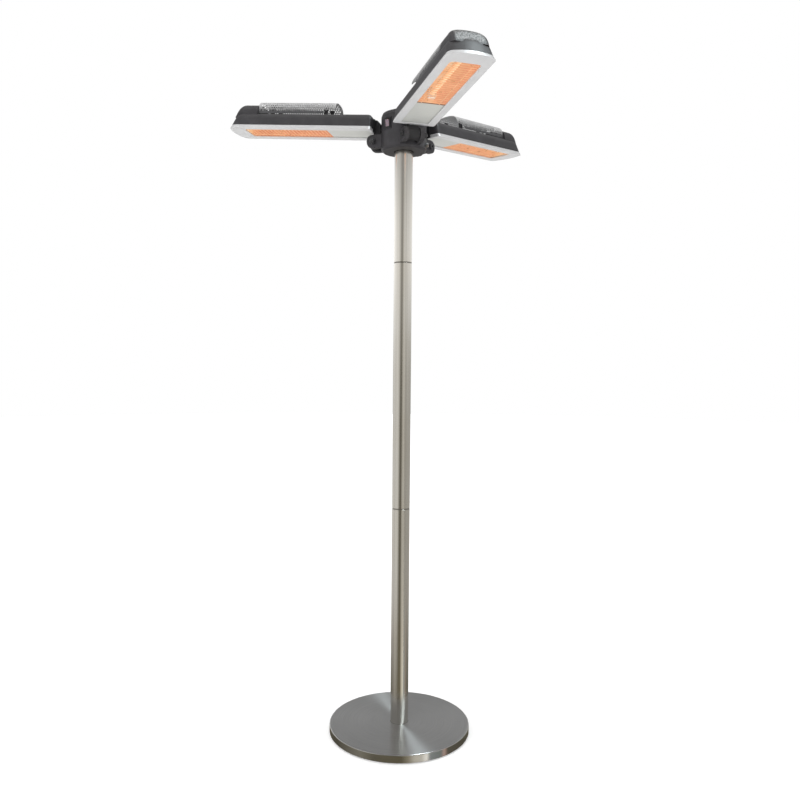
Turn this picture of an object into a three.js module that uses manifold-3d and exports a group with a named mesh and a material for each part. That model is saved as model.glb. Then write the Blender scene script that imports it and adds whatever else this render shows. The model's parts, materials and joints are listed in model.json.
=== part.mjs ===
// Free-standing outdoor heater: a weighted round base, a pole in three lengths, and a hub that carries
// three hinged arms, each with a quartz heater behind a wire guard.
// Millimetres, +Z up. The origin is on the floor, on the pole's axis.
import * as THREE from "three";
import { mergeVertices } from "three/addons/utils/BufferGeometryUtils.js";
import Module from "manifold-3d";

const wasm = await Module();
wasm.setup();

// ---------- driving dimensions ----------

const GAP = 0.3; // left between pieces that touch

const BASE_R = 200;
const BASE_TOP = 24;
const BASE_SHEET = 1.5;
const BASE_EDGE = 3; // rounding of the base's upper edge
const PAD_R = 186;
const PAD_T = 4;

const POLE_R = 25.4;
const POLE_WALL = 1.5;
const SEAM_LOW = 642; // height of the joint between the lower and middle lengths
const SEAM_HIGH = 1334; // and between the middle and upper lengths
const POLE_TOP = 1712;
const SPIGOT_REACH = 60; // how far a coupling goes into each tube
const SEAM_REVEAL = 2.4; // height of the coupling's collar, seen as a fine groove

const HUB_R = 63;
const HUB_WALL = 3;
const HUB_BOTTOM = 1641;
const HUB_SPLIT = 1731; // where the cover meets the body
const HUB_TOP = 1746;
const SOCKET_R = 34; // outside of the tube inside the hub that takes the pole

const PIVOT_R = 82; // from the pole's axis to an arm's hinge
const PIVOT_Z = HUB_BOTTOM + 27;
const EAR_R = 18;
const EAR_IN = 16; // inner and outer face of each hinge ear, from the arm's middle plane
const EAR_OUT = 28;
const BOLT_R = 4;

// An arm is drawn level, along +X, with its hinge axis at the origin.
const ARM_IN = 3;
const ARM_OUT = 428;
const ARM_HALF = 55; // half width where frame and housing meet
const RIM_Z = 25; // underside of the frame
const FRAME_H = 9;
const FRAME_FLARE = 4; // how much wider the frame is at its underside, each side
const HOUSING_TOP = 70;
const HOUSING_WALL = 1.4;
const DOME_IN = 340; // raised end of the housing, beyond the heat shield
const DOME_TOP = 98;
const DOME_HALF = 47;
const SHIELD_IN = 112;
const SHIELD_OUT = DOME_IN - 0.5;
const SHIELD_TOP = 107;
const SHIELD_HALF = 40;
const WINDOW_IN = 141; // the opening that the heat comes out of
const WINDOW_OUT = 381;
const WINDOW_HALF = 36;
const LIP = 3; // thickness of the ledge around the opening
const WIRE_R = 1; // half the thickness of the guard's wires
const CROSS_WIRES = 22;
const LONG_WIRES_Y = [-24, 24];
const TUBE_Z = 48;
const TUBE_R = 6;

const ARM_TILT = 4; // how far the raised arms slope up from level
const ARMS = [
  { side: "left", azimuth: 150 },
  { side: "right", azimuth: 30 },
  { side: "front", azimuth: -90 },
];
const SWITCH_AZIMUTH = 210; // midway between the left and front arms
const GLAND_AZIMUTH = 90;
const CLAMP_AZIMUTH = 330;

// ---------- materials ----------

const finish = (color, roughness, metalness) => new THREE.MeshStandardMaterial({ color, roughness, metalness });
const steel = finish(0xa9a79f, 0.35, 1);
const castIron = finish(0x3c3c3c, 0.8, 0.4);
const zinc = finish(0xb4b6b8, 0.4, 1);
const blackSteel = finish(0x2c2c2e, 0.45, 0.6);
const rubber = finish(0x1c1c1c, 0.9, 0);
const blackPlastic = finish(0x3a3b3e, 0.55, 0);
const charcoal = finish(0x3f4043, 0.5, 0.2);
const shieldGrey = finish(0xa2a3a3, 0.5, 0.7);
const silver = finish(0xc8c9c8, 0.3, 0.9);
const mirror = finish(0xe6dccb, 0.12, 1);
const quartz = finish(0xffb070, 0.1, 0);
const glowingWire = finish(0xff7a2a, 0.6, 0.2);
const ceramic = finish(0xe8e2d4, 0.7, 0);
const nylon = finish(0xe9e9e4, 0.6, 0);
const redLens = finish(0xb04a58, 0.2, 0);

// ---------- solids ----------

// A closed three.js geometry as a manifold-3d solid, turned the right way out.
function solidOf(geometry) {
  const bare = geometry.clone();
  bare.deleteAttribute("normal");
  bare.deleteAttribute("uv");
  const merged = mergeVertices(bare, 1e-4);
  const vertProperties = merged.attributes.position.array;
  const triVerts = new Uint32Array(merged.index.array);
  const made = new wasm.Manifold(new wasm.Mesh({ numProp: 3, vertProperties, triVerts }));
  if (made.volume() > 0) return made;
  return new wasm.Manifold(new wasm.Mesh({ numProp: 3, vertProperties, triVerts: triVerts.reverse() }));
}

function geometryOf(solid) {
  const mesh = solid.getMesh();
  const corners = new Float32Array(mesh.numVert * 3);
  for (let i = 0; i < mesh.numVert; i++) {
    corners.set(mesh.vertProperties.subarray(i * mesh.numProp, i * mesh.numProp + 3), i * 3);
  }
  const geometry = new THREE.BufferGeometry();
  geometry.setAttribute("position", new THREE.BufferAttribute(corners, 3));
  geometry.setIndex(new THREE.BufferAttribute(new Uint32Array(mesh.triVerts), 1));
  const flat = geometry.toNonIndexed();
  flat.computeVertexNormals();
  return flat;
}

const join = (...geometries) => geometries.map(solidOf).reduce((whole, next) => whole.add(next));
const common = (...geometries) => geometries.map(solidOf).reduce((whole, next) => whole.intersect(next));
const cut = (solid, ...geometries) => geometries.map(solidOf).reduce((rest, tool) => rest.subtract(tool), solid);

// Turned about Z from [radius, height] points: an open profile starts and ends on the axis.
function turned(points, segments) {
  const geometry = new THREE.LatheGeometry(points.map(([r, z]) => new THREE.Vector2(r, z)), segments);
  return geometry.rotateX(Math.PI / 2);
}

function disc(radius, low, high, segments = 32) {
  return turned([[0, low], [radius, low], [radius, high], [0, high]], segments);
}

function ring(inner, outer, low, high, segments = 32) {
  return turned([[inner, low], [outer, low], [outer, high], [inner, high], [inner, low]], segments);
}

// A straight-sided outline whose corners, given as [x, y, rounding], are eased by curves.
function outline(corners) {
  const shape = new THREE.Shape();
  corners.forEach(([x, y, rounding = 0], i) => {
    const corner = new THREE.Vector2(x, y);
    const before = new THREE.Vector2(...corners[(i + corners.length - 1) % corners.length]);
    const after = new THREE.Vector2(...corners[(i + 1) % corners.length]);
    const start = corner.clone().add(before.sub(corner).setLength(rounding));
    const end = corner.clone().add(after.sub(corner).setLength(rounding));
    if (i === 0) shape.moveTo(start.x, start.y);
    else shape.lineTo(start.x, start.y);
    if (rounding > 0) shape.quadraticCurveTo(x, y, end.x, end.y);
  });
  shape.closePath();
  return shape;
}

function extruded(shape, depth, curveSegments = 4) {
  return new THREE.ExtrudeGeometry(shape, { depth, bevelEnabled: false, curveSegments });
}

// An outline in X and Y, from one height to another.
const upright = (shape, low, high, curve) => extruded(shape, high - low, curve).translate(0, 0, low);

// An outline in Y and Z, from one X to another.
function lengthways(shape, start, end, curve) {
  const turn = new THREE.Matrix4().set(0, 0, 1, 0, 1, 0, 0, 0, 0, 1, 0, 0, 0, 0, 0, 1);
  return extruded(shape, end - start, curve).applyMatrix4(turn).translate(start, 0, 0);
}

// An outline in X and Z, from one Y to another.
function sideways(shape, start, end, curve) {
  return extruded(shape, end - start, curve).rotateX(Math.PI / 2).translate(0, end, 0);
}

const block = (x0, x1, y0, y1, z0, z1) =>
  new THREE.BoxGeometry(x1 - x0, y1 - y0, z1 - z0).translate((x0 + x1) / 2, (y0 + y1) / 2, (z0 + z1) / 2);

const rodX = (radius, start, end, y, z, segments = 16) =>
  disc(radius, start, end, segments).rotateY(Math.PI / 2).translate(0, y, z);

const rodY = (radius, start, end, x, z, segments = 16) =>
  disc(radius, start, end, segments).rotateX(-Math.PI / 2).translate(x, 0, z);

const hexX = (across, start, end, z) => rodX(across / Math.sqrt(3), start, end, 0, z, 6);

const aroundPole = (geometry, azimuth) => geometry.rotateZ(THREE.MathUtils.degToRad(azimuth));

function piece(parent, name, shape, material) {
  const geometry = shape.isBufferGeometry ? geometryOf(solidOf(shape)) : geometryOf(shape);
  const mesh = new THREE.Mesh(geometry, material);
  mesh.name = name;
  parent.add(mesh);
  return mesh;
}

// ---------- base ----------

function addBase(parent) {
  const segments = 64;
  const weightLow = PAD_T + GAP;
  const weightTop = BASE_TOP - BASE_SHEET - GAP;
  const inside = BASE_R - BASE_SHEET;
  piece(parent, "base_pad", disc(PAD_R, 0, PAD_T, segments), rubber);

  const boltHeadRoom = 9;
  const weight = [
    [5.6, weightLow + boltHeadRoom],
    [13, weightLow + boltHeadRoom],
    [13, weightLow],
    [inside - GAP, weightLow],
    [inside - GAP, weightTop - 3],
    [inside - 3, weightTop],
    [5.6, weightTop],
    [5.6, weightLow + boltHeadRoom],
  ];
  piece(parent, "base_weight", turned(weight, segments), castIron);

  const poleHole = POLE_R + GAP;
  const lowerEdge = 2;
  const cover = [
    [poleHole, BASE_TOP],
    [BASE_R - BASE_EDGE, BASE_TOP],
    [BASE_R - 0.3 * BASE_EDGE, BASE_TOP - 0.3 * BASE_EDGE],
    [BASE_R, BASE_TOP - BASE_EDGE],
    [BASE_R, lowerEdge],
    [inside, lowerEdge],
    [inside, BASE_TOP - BASE_EDGE],
    [inside - 1.5, BASE_TOP - BASE_SHEET],
    [poleHole, BASE_TOP - BASE_SHEET],
    [poleHole, BASE_TOP],
  ];
  piece(parent, "base_cover", turned(cover, segments), steel);
}

// ---------- pole ----------

function addPole(parent) {
  const inner = POLE_R - POLE_WALL;
  const fit = inner - GAP;
  const foot = BASE_TOP - BASE_SHEET;
  const reveal = SEAM_REVEAL / 2 + GAP;
  piece(parent, "pole_lower", ring(inner, POLE_R, foot, SEAM_LOW - reveal), steel);
  piece(parent, "pole_middle", ring(inner, POLE_R, SEAM_LOW + reveal, SEAM_HIGH - reveal), steel);
  piece(parent, "pole_upper", ring(inner, POLE_R, SEAM_HIGH + reveal, POLE_TOP), steel);

  const bore = fit - 3;
  for (const [name, seam] of [["coupling_lower", SEAM_LOW], ["coupling_upper", SEAM_HIGH]]) {
    const collar = SEAM_REVEAL / 2;
    const profile = [
      [bore, seam - SPIGOT_REACH],
      [fit, seam - SPIGOT_REACH],
      [fit, seam - collar],
      [POLE_R - 0.6, seam - collar],
      [POLE_R - 0.6, seam + collar],
      [fit, seam + collar],
      [fit, seam + SPIGOT_REACH],
      [bore, seam + SPIGOT_REACH],
      [bore, seam - SPIGOT_REACH],
    ];
    piece(parent, name, turned(profile, 32), zinc);
  }

  const footPlugTop = foot + 38;
  const footBore = 5.3;
  piece(parent, "foot_plug", ring(footBore, fit, foot, footPlugTop), zinc);
  const headLow = PAD_T + 1;
  const headHigh = headLow + 7.5;
  const head = disc(19 / Math.sqrt(3), headLow, headHigh, 6);
  piece(parent, "foot_bolt", join(head, disc(5, headHigh - 0.5, footPlugTop - 6, 16)), zinc);

  const flangeTop = POLE_TOP + 3;
  const screwHole = 2.8;
  const plug = [
    [screwHole, POLE_TOP - 24],
    [fit, POLE_TOP - 24],
    [fit, POLE_TOP + GAP],
    [POLE_R, POLE_TOP + GAP],
    [POLE_R, flangeTop],
    [screwHole, flangeTop],
    [screwHole, POLE_TOP - 24],
  ];
  piece(parent, "top_plug", turned(plug, 32), nylon);
}

// ---------- hub ----------

const SWITCH_Z = 1708;
const SWITCH_HALF_W = 9.5;
const SWITCH_HALF_H = 14;
const SWITCH_FACE = HUB_R + 1.6; // the flat pad that the switch sits on
const GLAND_Z = 1690;
const CLAMP_Z = HUB_BOTTOM + 16;
const BUSH_R = POLE_R + 2.6;

// One hinge: two ears, joined to the hub, with a hole for the pivot bolt.
function earPair(azimuth) {
  const root = HUB_R - 6;
  const low = PIVOT_Z - EAR_R;
  const high = PIVOT_Z + EAR_R;
  const side = outline([
    [root, low],
    [PIVOT_R + EAR_R, low, EAR_R],
    [PIVOT_R + EAR_R, high, EAR_R],
    [root, high],
  ]);
  return [-1, 1].map((hand) => {
    const [start, end] = hand < 0 ? [-EAR_OUT, -EAR_IN] : [EAR_IN, EAR_OUT];
    return aroundPole(sideways(side, start, end), azimuth);
  });
}

function addHub(parent) {
  const segments = 40;
  const floor = 4;
  const wallIn = HUB_R - HUB_WALL;
  const socketTop = HUB_BOTTOM + 58;
  const bushHole = BUSH_R + GAP;
  const cup = [
    [bushHole, HUB_BOTTOM],
    [HUB_R - 5, HUB_BOTTOM],
    [HUB_R, HUB_BOTTOM + 5],
    [HUB_R, HUB_SPLIT],
    [wallIn, HUB_SPLIT],
    [wallIn, HUB_BOTTOM + floor],
    [SOCKET_R, HUB_BOTTOM + floor],
    [SOCKET_R, socketTop],
    [bushHole, socketTop],
    [bushHole, HUB_BOTTOM],
  ];
  const pad = [SWITCH_HALF_W + 1.5, SWITCH_HALF_H + 1.5];
  const switchPad = block(wallIn - 1, SWITCH_FACE, -pad[0], pad[0], SWITCH_Z - pad[1], SWITCH_Z + pad[1]);
  const shell = join(
    turned(cup, segments),
    aroundPole(switchPad, SWITCH_AZIMUTH),
    ...ARMS.flatMap(({ azimuth }) => earPair(azimuth)),
  );
  const opening = [SWITCH_HALF_W - 1.5 + GAP, SWITCH_HALF_H - 1.5 + GAP];
  const switchHole = block(50, 70, -opening[0], opening[0], SWITCH_Z - opening[1], SWITCH_Z + opening[1]);
  const glandHole = rodX(8 + GAP, 50, 70, 0, GLAND_Z);
  const clampHole = rodX(3 + GAP, 20, 70, 0, CLAMP_Z);
  const body = cut(
    shell,
    aroundPole(switchHole, SWITCH_AZIMUTH),
    aroundPole(glandHole, GLAND_AZIMUTH),
    aroundPole(clampHole, CLAMP_AZIMUTH),
    ...ARMS.map(({ azimuth }) => aroundPole(rodY(BOLT_R + GAP, -40, 40, PIVOT_R, PIVOT_Z), azimuth)),
  );
  piece(parent, "hub_body", body, blackPlastic);

  const coverLow = HUB_SPLIT + GAP;
  const skirt = wallIn - GAP;
  const boss = 9;
  const screwHole = 2.8;
  const headSeat = HUB_TOP - 4;
  const cover = [
    [screwHole, POLE_TOP + 3 + GAP],
    [boss, POLE_TOP + 3 + GAP],
    [boss, HUB_TOP - HUB_WALL],
    [HUB_R - 13, HUB_TOP - HUB_WALL],
    [skirt - 2.5, HUB_TOP - 11],
    [skirt - 2.5, HUB_SPLIT - 6],
    [skirt, HUB_SPLIT - 6],
    [skirt, coverLow],
    [HUB_R, coverLow],
    [HUB_R, HUB_TOP - 12],
    [HUB_R - 3.5, HUB_TOP - 3.5],
    [HUB_R - 12, HUB_TOP],
    [6, HUB_TOP],
    [6, headSeat],
    [screwHole, headSeat],
    [screwHole, POLE_TOP + 3 + GAP],
  ];
  piece(parent, "hub_cover", turned(cover, segments), blackPlastic);
  const screw = join(disc(2.5, POLE_TOP - 18, headSeat + 1, 12), disc(5, headSeat + GAP, HUB_TOP - 0.8, 16));
  piece(parent, "cover_screw", screw, zinc);

  const clampCut = aroundPole(rodX(3 + GAP, 20, 40, 0, CLAMP_Z), CLAMP_AZIMUTH);
  const bush = cut(solidOf(ring(POLE_R + GAP, BUSH_R, HUB_BOTTOM + 1, socketTop)), clampCut);
  piece(parent, "pole_bush", bush, rubber);
  const clampHead = rodX(6, HUB_R + GAP, HUB_R + 6, 0, CLAMP_Z);
  const clampKey = hexX(5, HUB_R + 3, HUB_R + 8, CLAMP_Z);
  const clampScrew = cut(join(rodX(3, POLE_R + GAP, HUB_R + 1, 0, CLAMP_Z, 12), clampHead), clampKey);
  piece(parent, "clamp_screw", clampScrew, zinc).rotation.z = THREE.MathUtils.degToRad(CLAMP_AZIMUTH);

  const blockLow = HUB_BOTTOM + floor + GAP;
  const terminals = join(
    block(38, 54, -17, 17, blockLow, blockLow + 12),
    ...[-12, -4, 4, 12].map((y) => block(41, 51, y - 3, y + 3, blockLow + 11, blockLow + 17)),
  );
  piece(parent, "terminal_block", terminals, nylon).rotation.z = THREE.MathUtils.degToRad(GLAND_AZIMUTH);
}

// The supply lead's inlet: a threaded body through the wall and a domed nut on it.
function addGland(parent) {
  const group = new THREE.Group();
  group.rotation.z = THREE.MathUtils.degToRad(GLAND_AZIMUTH);
  parent.add(group);
  const bore = rodX(4.5, 40, 90, 0, GLAND_Z);
  const wallIn = HUB_R - HUB_WALL;
  const body = cut(
    join(
      rodX(8, wallIn - 5, HUB_R + 12, 0, GLAND_Z),
      hexX(22, HUB_R + GAP, HUB_R + 5, GLAND_Z),
    ),
    bore,
  );
  piece(group, "cable_gland", body, blackPlastic);
  const nutLow = HUB_R + 5 + GAP;
  const profile = [
    [8 + GAP, nutLow],
    [11, nutLow],
    [11, nutLow + 8],
    [7.5, nutLow + 15],
    [4.5, nutLow + 15],
    [4.5, nutLow + 9],
    [8 + GAP, nutLow + 9],
    [8 + GAP, nutLow],
  ];
  const nut = turned(profile, 24).rotateY(Math.PI / 2).translate(0, 0, GLAND_Z);
  piece(group, "gland_nut", nut, blackPlastic);
}

// A rocker switch in its cut-out. The rocker lies with its lower half pressed in.
const ROCKER_TILT = 8;
function addSwitch(parent) {
  const group = new THREE.Group();
  group.rotation.z = THREE.MathUtils.degToRad(SWITCH_AZIMUTH);
  parent.add(group);
  const backHalf = [SWITCH_HALF_W - 1.5, SWITCH_HALF_H - 1.5];
  const bezelIn = SWITCH_FACE + GAP;
  const bezelOut = bezelIn + 2.4;
  const wellHalf = [6.5, 11];
  const pivotX = SWITCH_FACE - 5;
  const reach = 9.3;
  const crown = 9.5;
  const pinR = 1.2;
  const back = block(44, bezelIn + 1, -backHalf[0], backHalf[0], SWITCH_Z - backHalf[1], SWITCH_Z + backHalf[1]);
  const bezelOutline = outline([
    [-SWITCH_HALF_W, SWITCH_Z - SWITCH_HALF_H, 3],
    [SWITCH_HALF_W, SWITCH_Z - SWITCH_HALF_H, 3],
    [SWITCH_HALF_W, SWITCH_Z + SWITCH_HALF_H, 3],
    [-SWITCH_HALF_W, SWITCH_Z + SWITCH_HALF_H, 3],
  ]);
  const well = block(50, 80, -wellHalf[0], wellHalf[0], SWITCH_Z - wellHalf[1], SWITCH_Z + wellHalf[1]);
  const pinHole = rodY(pinR + GAP, -7.4, 7.4, pivotX, SWITCH_Z, 8);
  const body = cut(join(back, lengthways(bezelOutline, bezelIn, bezelOut)), well, pinHole);
  piece(group, "switch_body", body, blackPlastic);

  const rockerSide = outline([
    [-4, -3.5],
    [3, -reach],
    [crown, -reach, 1.5],
    [crown - 1.6, 0, 4],
    [crown, reach, 1.5],
    [3, reach],
    [-4, 3.5],
  ]);
  const pin = rodY(pinR, -7.1, 7.1, 0, 0, 8);
  const rocker = piece(group, "switch_rocker", join(sideways(rockerSide, -6, 6), pin), redLens);
  rocker.position.set(pivotX, 0, SWITCH_Z);
  rocker.rotation.y = THREE.MathUtils.degToRad(ROCKER_TILT);
}

// ---------- arm ----------

// Seen from above: square at the hinge end, with a bowed tip.
function armPlan(inset, start = ARM_IN) {
  const half = ARM_HALF - inset;
  const end = ARM_OUT - inset;
  const ease = 8;
  const bow = 14; // how far the middle of the tip stands beyond its corners
  const corner = 16;
  const shape = new THREE.Shape();
  shape.moveTo(start + inset, -half + ease);
  shape.quadraticCurveTo(start + inset, -half, start + inset + ease, -half);
  shape.lineTo(end - bow - corner, -half);
  shape.quadraticCurveTo(end - bow, -half, end - bow + 4, -half + corner);
  shape.quadraticCurveTo(end + 4, 0, end - bow + 4, half - corner);
  shape.quadraticCurveTo(end - bow, half, end - bow - corner, half);
  shape.lineTo(start + inset + ease, half);
  shape.quadraticCurveTo(start + inset, half, start + inset, half - ease);
  shape.closePath();
  return shape;
}

// Seen from the side: a flat-topped box with a steep tip, or the raised dome at the tip.
function housingSide(low, inset) {
  return outline([
    [ARM_IN + inset, low],
    [ARM_OUT - inset, low],
    [ARM_OUT - inset, RIM_Z + FRAME_H + 2],
    [ARM_OUT - 18 - inset, HOUSING_TOP - inset, 3],
    [ARM_IN + inset, HOUSING_TOP - inset, 16],
  ]);
}

function domeSide(inset) {
  const low = HOUSING_TOP - 12;
  return outline([
    [DOME_IN + inset, low],
    [ARM_OUT - 17 - inset, low],
    [ARM_OUT - 36 - inset, DOME_TOP - inset, 14],
    [DOME_IN + inset, DOME_TOP - inset, 3],
  ]);
}

function housingSection(low, inset) {
  const half = ARM_HALF - inset;
  const top = HOUSING_TOP - inset;
  return outline([
    [-half, low],
    [half, low],
    [half - 5, top, 20],
    [-half + 5, top, 20],
  ]);
}

// A low vault, upright at its feet and flat at its crown.
function arch(half, low, top) {
  const foot = low + (top - low) * 0.3;
  const shape = new THREE.Shape();
  shape.moveTo(-half, low);
  shape.lineTo(half, low);
  shape.lineTo(half, foot);
  shape.bezierCurveTo(half - 1, top - 4, half * 0.62, top, 0, top);
  shape.bezierCurveTo(-half * 0.62, top, 1 - half, top - 4, -half, foot);
  shape.closePath();
  return shape;
}

function boxOf(low, inset) {
  const plan = upright(armPlan(inset), low, HOUSING_TOP + 10);
  const side = sideways(housingSide(low, inset), -ARM_HALF, ARM_HALF);
  const section = lengthways(housingSection(low, inset), 0, ARM_OUT + 10);
  return common(plan, side, section);
}

function domeOf(inset) {
  const side = sideways(domeSide(inset), -DOME_HALF, DOME_HALF);
  const section = lengthways(arch(DOME_HALF - inset, HOUSING_TOP - 12, DOME_TOP - inset), DOME_IN - 5, ARM_OUT);
  return common(side, section);
}

const POSTS_X = [SHIELD_IN + 30, DOME_IN - 40]; // dark pillars that the heat shield stands on
function housing() {
  const low = RIM_Z + FRAME_H + GAP;
  const outside = boxOf(low, 0).add(domeOf(0));
  const inside = boxOf(low - 5, HOUSING_WALL).add(domeOf(HOUSING_WALL));
  const posts = POSTS_X.flatMap((x) =>
    [-1, 1].map((hand) => block(x - 5, x + 5, hand * 27 - 3, hand * 27 + 3, HOUSING_TOP - 1, SHIELD_TOP - 10)),
  );
  const studHoles = STUDS_Y.map((y) => rodX(STUD_R + GAP, ARM_IN - 5, ARM_IN + 5, y, STUD_Z, 8));
  return cut(outside.subtract(inside).add(join(...posts)), ...studHoles);
}

// The perforated hood over the housing: an arched sheet on four feet.
function heatShield() {
  const sheet = 1;
  const low = HOUSING_TOP + GAP;
  const outer = lengthways(arch(SHIELD_HALF, low, SHIELD_TOP), SHIELD_IN, SHIELD_OUT);
  const hollow = arch(SHIELD_HALF - sheet, low - 1, SHIELD_TOP - sheet);
  const inner = lengthways(hollow, SHIELD_IN - 1, SHIELD_OUT + 1);
  const skirtCut = outline([
    [SHIELD_IN - 1, low - 1],
    [SHIELD_IN + 42, low - 1],
    [SHIELD_IN + 30, low + 8],
    [SHIELD_IN - 1, low + 14],
  ]);
  return cut(solidOf(outer), inner, sideways(skirtCut, -ARM_HALF, ARM_HALF));
}

// The silver surround on the underside. It widens downwards from where it meets the housing.
function frame() {
  const solid = upright(armPlan(0), RIM_Z, RIM_Z + FRAME_H, 4);
  const position = solid.attributes.position;
  const middle = (ARM_IN + ARM_OUT) / 2;
  const lengthShare = 1 + FRAME_FLARE / (ARM_OUT - middle);
  const widthShare = 1 + FRAME_FLARE / ARM_HALF;
  for (let i = 0; i < position.count; i++) {
    if (position.getZ(i) > RIM_Z + 1) continue;
    const x = position.getX(i);
    if (x > middle) position.setX(i, middle + (x - middle) * lengthShare);
    position.setY(i, position.getY(i) * widthShare);
  }
  const mouth = outline([
    [12, -WINDOW_HALF - 2, 8],
    [WINDOW_OUT, -WINDOW_HALF - 2, 12],
    [WINDOW_OUT, WINDOW_HALF + 2, 12],
    [12, WINDOW_HALF + 2, 8],
  ]);
  const roomHalf = ARM_HALF - 4;
  const room = outline([
    [9, -roomHalf, 8],
    [WINDOW_OUT + 12, -roomHalf, 14],
    [WINDOW_OUT + 12, roomHalf, 14],
    [9, roomHalf, 8],
  ]);
  return cut(solidOf(solid), upright(mouth, RIM_Z - 1, RIM_Z + 20), upright(room, RIM_Z + LIP, RIM_Z + 20));
}

// The plate that closes the frame between the hinge and the heated window.
function terminalCover() {
  const half = ARM_HALF - 5;
  const low = RIM_Z + LIP + GAP;
  const plate = outline([
    [9.5, -half, 7],
    [WINDOW_IN - 4, -half],
    [WINDOW_IN - 4, half],
    [9.5, half, 7],
  ]);
  return upright(plate, low, low + 1.5);
}

// The polished trough behind the heater tube, closed at both ends.
function reflector() {
  const sheet = 1;
  const low = RIM_Z + LIP + 2 * WIRE_R + 2 * GAP;
  const top = 65;
  const start = WINDOW_IN - 3;
  const end = WINDOW_OUT + 4;
  const trough = (inset) =>
    outline([
      [-44 + inset, low - inset],
      [44 - inset, low - inset],
      [26 - inset, top - inset, 14],
      [-26 + inset, top - inset, 14],
    ]);
  const flange = upright(outline([[start, -46], [end, -46], [end, 46], [start, 46]]), low, low + sheet);
  const outside = join(lengthways(trough(0), start, end), flange);
  return cut(outside, lengthways(trough(sheet), start + sheet, end - sheet));
}

const HOLDER_LENGTH = 14;
const TUBE_IN = WINDOW_IN + 9;
const TUBE_OUT = WINDOW_OUT - 7;

function lampHolder(start, mouth) {
  const shape = outline([
    [-10, TUBE_Z - 10, 3],
    [10, TUBE_Z - 10, 3],
    [10, TUBE_Z + 15, 3],
    [-10, TUBE_Z + 15, 3],
  ]);
  const solid = lengthways(shape, start, start + HOLDER_LENGTH, 2);
  return cut(solidOf(solid), rodX(TUBE_R + GAP, mouth, mouth + 9, 0, TUBE_Z));
}

// Cross wires on two long wires. It lies on the frame's lip, held down by the reflector's flange.
function guard() {
  const low = RIM_Z + LIP + GAP;
  const high = low + 2 * WIRE_R;
  const longEnd = WINDOW_OUT + 4;
  const long = LONG_WIRES_Y.map((y) => block(WINDOW_IN - 2, longEnd, y - WIRE_R, y + WIRE_R, low, high));
  const first = WINDOW_IN + 5;
  const pitch = (WINDOW_OUT - 6 - first) / (CROSS_WIRES - 1);
  const reach = WINDOW_HALF + 6;
  const cross = [];
  for (let i = 0; i < CROSS_WIRES; i++) {
    const x = first + i * pitch;
    cross.push(block(x - WIRE_R, x + WIRE_R, -reach, reach, low, high));
  }
  return join(...long, ...cross);
}

// The arm's half of the hinge: a tongue between the ears, a plate with two studs up the housing's end, and
// a nose that comes to rest against the hub when the arm is raised.
const STUDS_Y = [-20, 20];
const STUD_R = 3;
const STUD_Z = RIM_Z + 26;
const NOSE_X = -14.8;
function hingeBracket() {
  const half = EAR_IN - 1;
  const tongueR = EAR_R - 3;
  const endFace = ARM_IN - GAP;
  const plateIn = endFace - 3;
  const top = RIM_Z + 36;
  const side = outline([
    [-tongueR, -tongueR, tongueR],
    [tongueR, -tongueR, tongueR],
    [tongueR, 4, 3],
    [endFace, RIM_Z - 6, 3],
    [endFace, top],
    [-5, top, 3],
    [NOSE_X, top - 9, 2],
    [NOSE_X, RIM_Z, 2],
    [-tongueR, 4, 3],
  ]);
  const plate = block(plateIn, endFace, -26, 26, RIM_Z + 1, top);
  const studs = STUDS_Y.map((y) => rodX(STUD_R, plateIn, endFace + 9, y, STUD_Z, 8));
  const pin = rodY(BOLT_R + GAP, -30, 30, 0, 0);
  return cut(join(sideways(side, -half, half), plate, ...studs), pin);
}

function addPivotBolt(spoke, side) {
  const headIn = EAR_OUT + GAP;
  const head = rodY(7.5, -headIn - 6, -headIn, PIVOT_R, PIVOT_Z);
  const shank = rodY(BOLT_R, -headIn - 1, EAR_OUT + 8, PIVOT_R, PIVOT_Z);
  const key = disc(6 / Math.sqrt(3), -headIn - 8, -headIn - 3, 6).rotateX(-Math.PI / 2);
  key.translate(PIVOT_R, 0, PIVOT_Z);
  piece(spoke, `${side}_pivot_bolt`, cut(join(head, shank), key), blackSteel);
  const nutProfile = [
    [BOLT_R + GAP, headIn],
    [8, headIn],
    [8, headIn + 6],
    [6.5, headIn + 10],
    [3, headIn + 12.5],
    [0, headIn + 13],
    [0, headIn + 9],
    [BOLT_R + GAP, headIn + 9],
    [BOLT_R + GAP, headIn],
  ];
  const nut = turned(nutProfile, 12).rotateX(-Math.PI / 2).translate(PIVOT_R, 0, PIVOT_Z);
  piece(spoke, `${side}_pivot_nut`, nut, blackSteel);
}

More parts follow.
